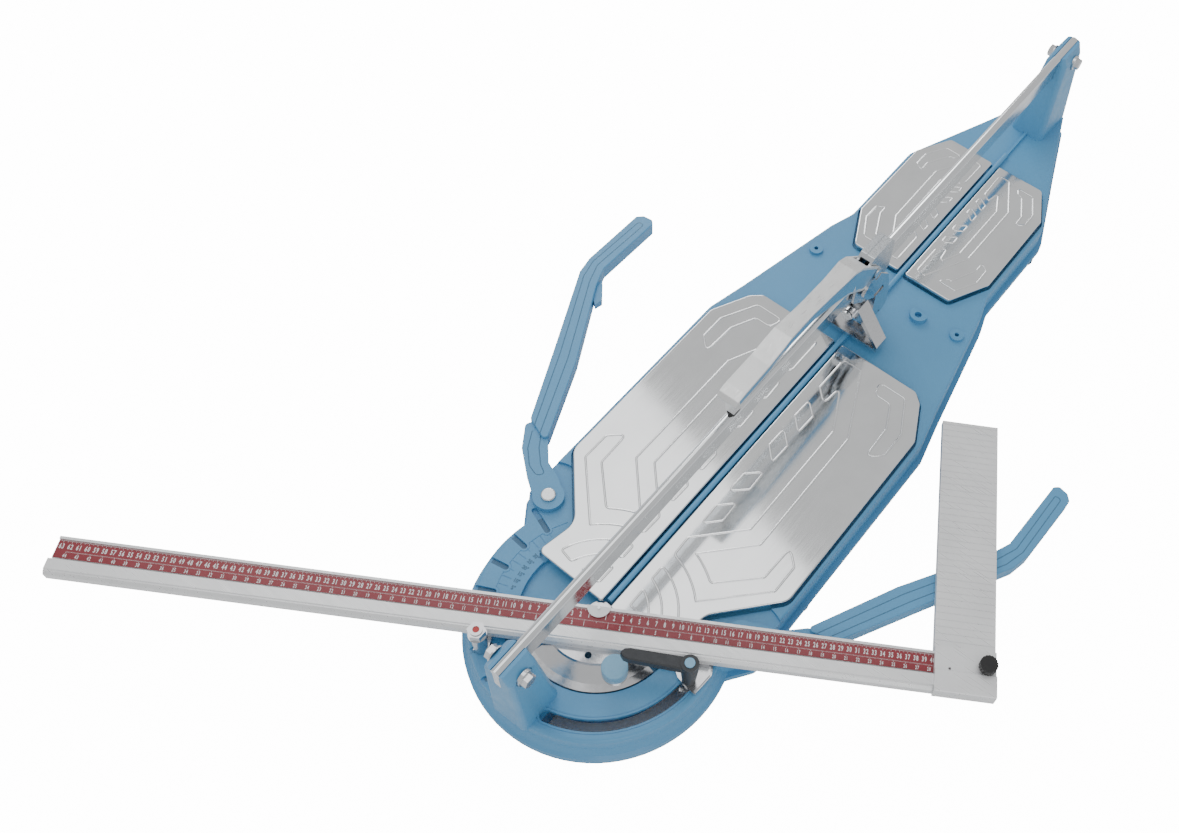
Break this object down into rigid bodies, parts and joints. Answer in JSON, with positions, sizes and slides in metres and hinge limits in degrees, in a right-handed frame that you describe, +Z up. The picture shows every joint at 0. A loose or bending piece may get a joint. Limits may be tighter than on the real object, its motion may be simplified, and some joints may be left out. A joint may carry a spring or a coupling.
{
  "type": "tile cutter",
  "caption": "Long manual tile cutter: cast base with sprung bed plates, overhead guide rail, wheeled carriage with pull lever, swinging measuring guide and side support arms.",
  "frame": {"origin": "on the bench plane, under the pivot of the measuring guide", "axes": "+Y along the cutting line towards the rear post, +X to the right, +Z up"},
  "size_m": [0.989, 1.4853, 0.259],
  "materials": {
    "blue_paint": "satin paint on cast aluminium",
    "plate_steel": "satin",
    "rail_chrome": "polished",
    "bolt_steel": "satin",
    "spring_steel": "satin",
    "carriage_metal": "satin",
    "lever_metal": "satin",
    "nickel": "polished",
    "bar_aluminium": "satin",
    "strip_red": "satin",
    "white_plastic": "gloss",
    "blue_plastic": "satin",
    "dark_grey": "satin",
    "black_plastic": "matt",
    "rubber_dark": "matt",
    "red_plastic": "gloss",
    "carbide": "satin"
  },
  "bodies": {
    "base": {"base_casting": "blue_paint", "rubber_feet": "rubber_dark", "front_springs_left": "spring_steel", "front_springs_right": "spring_steel", "rear_springs_left": "spring_steel", "rear_springs_right": "spring_steel", "guide_rail": "rail_chrome", "rail_bolts": "bolt_steel", "rail_washers": "bolt_steel", "rail_nuts": "bolt_steel", "pivot_bolt": "bolt_steel", "pivot_nut": "bolt_steel", "arm_bolts": "bolt_steel", "arm_nuts": "bolt_steel"},
    "front_left_bed": {"front_plate_left": "plate_steel"},
    "front_right_bed": {"front_plate_right": "plate_steel"},
    "rear_left_bed": {"rear_plate_left": "plate_steel"},
    "rear_right_bed": {"rear_plate_right": "plate_steel"},
    "carriage": {"carriage_block": "carriage_metal", "roller_axles": "bolt_steel", "lever_pins": "bolt_steel"},
    "roller_a": {"upper_roller_front": "bolt_steel"},
    "roller_b": {"upper_roller_rear": "bolt_steel"},
    "roller_c": {"lower_roller": "bolt_steel"},
    "lever": {"pull_lever": "lever_metal", "lever_pad": "rubber_dark", "wheel_holder": "nickel", "wheel_axle": "bolt_steel", "foot_pin": "bolt_steel"},
    "wheel": {"scoring_wheel": "carbide"},
    "foot": {"breaker_foot": "nickel"},
    "guide": {"guide_hub": "nickel", "hub_cap": "blue_plastic", "measuring_bar": "bar_aluminium", "scale_strip": "strip_red", "zero_marker": "white_plastic", "marker_pin": "bolt_steel", "clamp_plate": "nickel", "clamp_stud": "bolt_steel", "slot_nut": "bolt_steel", "detent_housing": "nickel", "detent_spring": "spring_steel"},
    "lock": {"lock_lever": "dark_grey", "lever_cap": "blue_plastic"},
    "detent": {"detent_plunger": "bolt_steel", "detent_knob": "nickel", "knob_insert": "red_plastic"},
    "square": {"square_clamp": "bar_aluminium", "square_blade": "bar_aluminium"},
    "square_tightener": {"square_screw": "bolt_steel", "square_knob": "black_plastic"},
    "arm_left": {"left_arm": "blue_paint"},
    "arm_right": {"right_arm": "blue_paint"}
  },
  "joints": [
    {"name": "front_left_plate_press", "type": "slide", "parent": "base", "child": "front_left_bed", "axis": [0, 0, 1], "range_m": [-0.004, 0], "stiffness_N_per_m": 8000, "springref_m": 0.004, "deforming": ["front_springs_left"]},
    {"name": "front_right_plate_press", "type": "slide", "parent": "base", "child": "front_right_bed", "axis": [0, 0, 1], "range_m": [-0.004, 0], "stiffness_N_per_m": 8000, "springref_m": 0.004, "deforming": ["front_springs_right"]},
    {"name": "rear_left_plate_press", "type": "slide", "parent": "base", "child": "rear_left_bed", "axis": [0, 0, 1], "range_m": [-0.004, 0], "stiffness_N_per_m": 8000, "springref_m": 0.004, "deforming": ["rear_springs_left"]},
    {"name": "rear_right_plate_press", "type": "slide", "parent": "base", "child": "rear_right_bed", "axis": [0, 0, 1], "range_m": [-0.004, 0], "stiffness_N_per_m": 8000, "springref_m": 0.004, "deforming": ["rear_springs_right"]},
    {"name": "carriage_slide", "type": "slide", "parent": "base", "child": "carriage", "axis": [0, 1, 0], "range_m": [-0.47, 0.43]},
    {"name": "upper_roller_front_spin", "type": "hinge", "parent": "carriage", "child": "roller_a", "pos_m": [0, 0.516, 0.2073], "axis": [1, 0, 0], "continuous": true},
    {"name": "upper_roller_rear_spin", "type": "hinge", "parent": "carriage", "child": "roller_b", "pos_m": [0, 0.572, 0.2073], "axis": [1, 0, 0], "continuous": true},
    {"name": "lower_roller_spin", "type": "hinge", "parent": "carriage", "child": "roller_c", "pos_m": [0, 0.547, 0.1487], "axis": [1, 0, 0], "continuous": true},
    {"name": "lever_lift", "type": "hinge", "parent": "carriage", "child": "lever", "pos_m": [0, 0.545, 0.19], "axis": [-1, 0, 0], "range_deg": [0, 34]},
    {"name": "wheel_spin", "type": "hinge", "parent": "lever", "child": "wheel", "pos_m": [0, 0.575, 0.08], "axis": [1, 0, 0], "continuous": true},
    {"name": "foot_tilt", "type": "hinge", "parent": "lever", "child": "foot", "pos_m": [0, 0.533, 0.118], "axis": [0, 1, 0], "range_deg": [-3, 3]},
    {"name": "guide_swing", "type": "hinge", "parent": "base", "child": "guide", "pos_m": [0, 0, 0.063], "axis": [0, 0, 1], "range_deg": [-62, 15]},
    {"name": "lock_turn", "type": "hinge", "parent": "guide", "child": "lock", "pos_m": [0.136, -0.00119, 0.1], "axis": [0, 0, 1], "range_deg": [0, 70]},
    {"name": "detent_lift", "type": "slide", "parent": "guide", "child": "detent", "axis": [0, 0, 1], "range_m": [0, 0.008], "stiffness_N_per_m": 500, "springref_m": -0.01, "deforming": ["detent_spring"]},
    {"name": "square_slide", "type": "slide", "parent": "guide", "child": "square", "axis": [0.866, 0.5, 0], "range_m": [-0.36, 0]},
    {"name": "square_knob_turn", "type": "hinge", "parent": "square", "child": "square_tightener", "pos_m": [0.40947, 0.21678, 0.09], "axis": [0, 0, 1], "continuous": true},
    {"name": "left_arm_swing", "type": "hinge", "parent": "base", "child": "arm_left", "pos_m": [-0.152, 0.08, 0.054], "axis": [0, 0, 1], "range_deg": [-12, 55]},
    {"name": "right_arm_swing", "type": "hinge", "parent": "base", "child": "arm_right", "pos_m": [0.152, 0.08, 0.054], "axis": [0, 0, 1], "range_deg": [-52, 15]}
  ],
  "couplings": [
    {"joint": "upper_roller_front_spin", "follows": "carriage_slide", "rad_per_m": -111.11},
    {"joint": "upper_roller_rear_spin", "follows": "carriage_slide", "rad_per_m": -111.11},
    {"joint": "lower_roller_spin", "follows": "carriage_slide", "rad_per_m": 111.11}
  ]
}
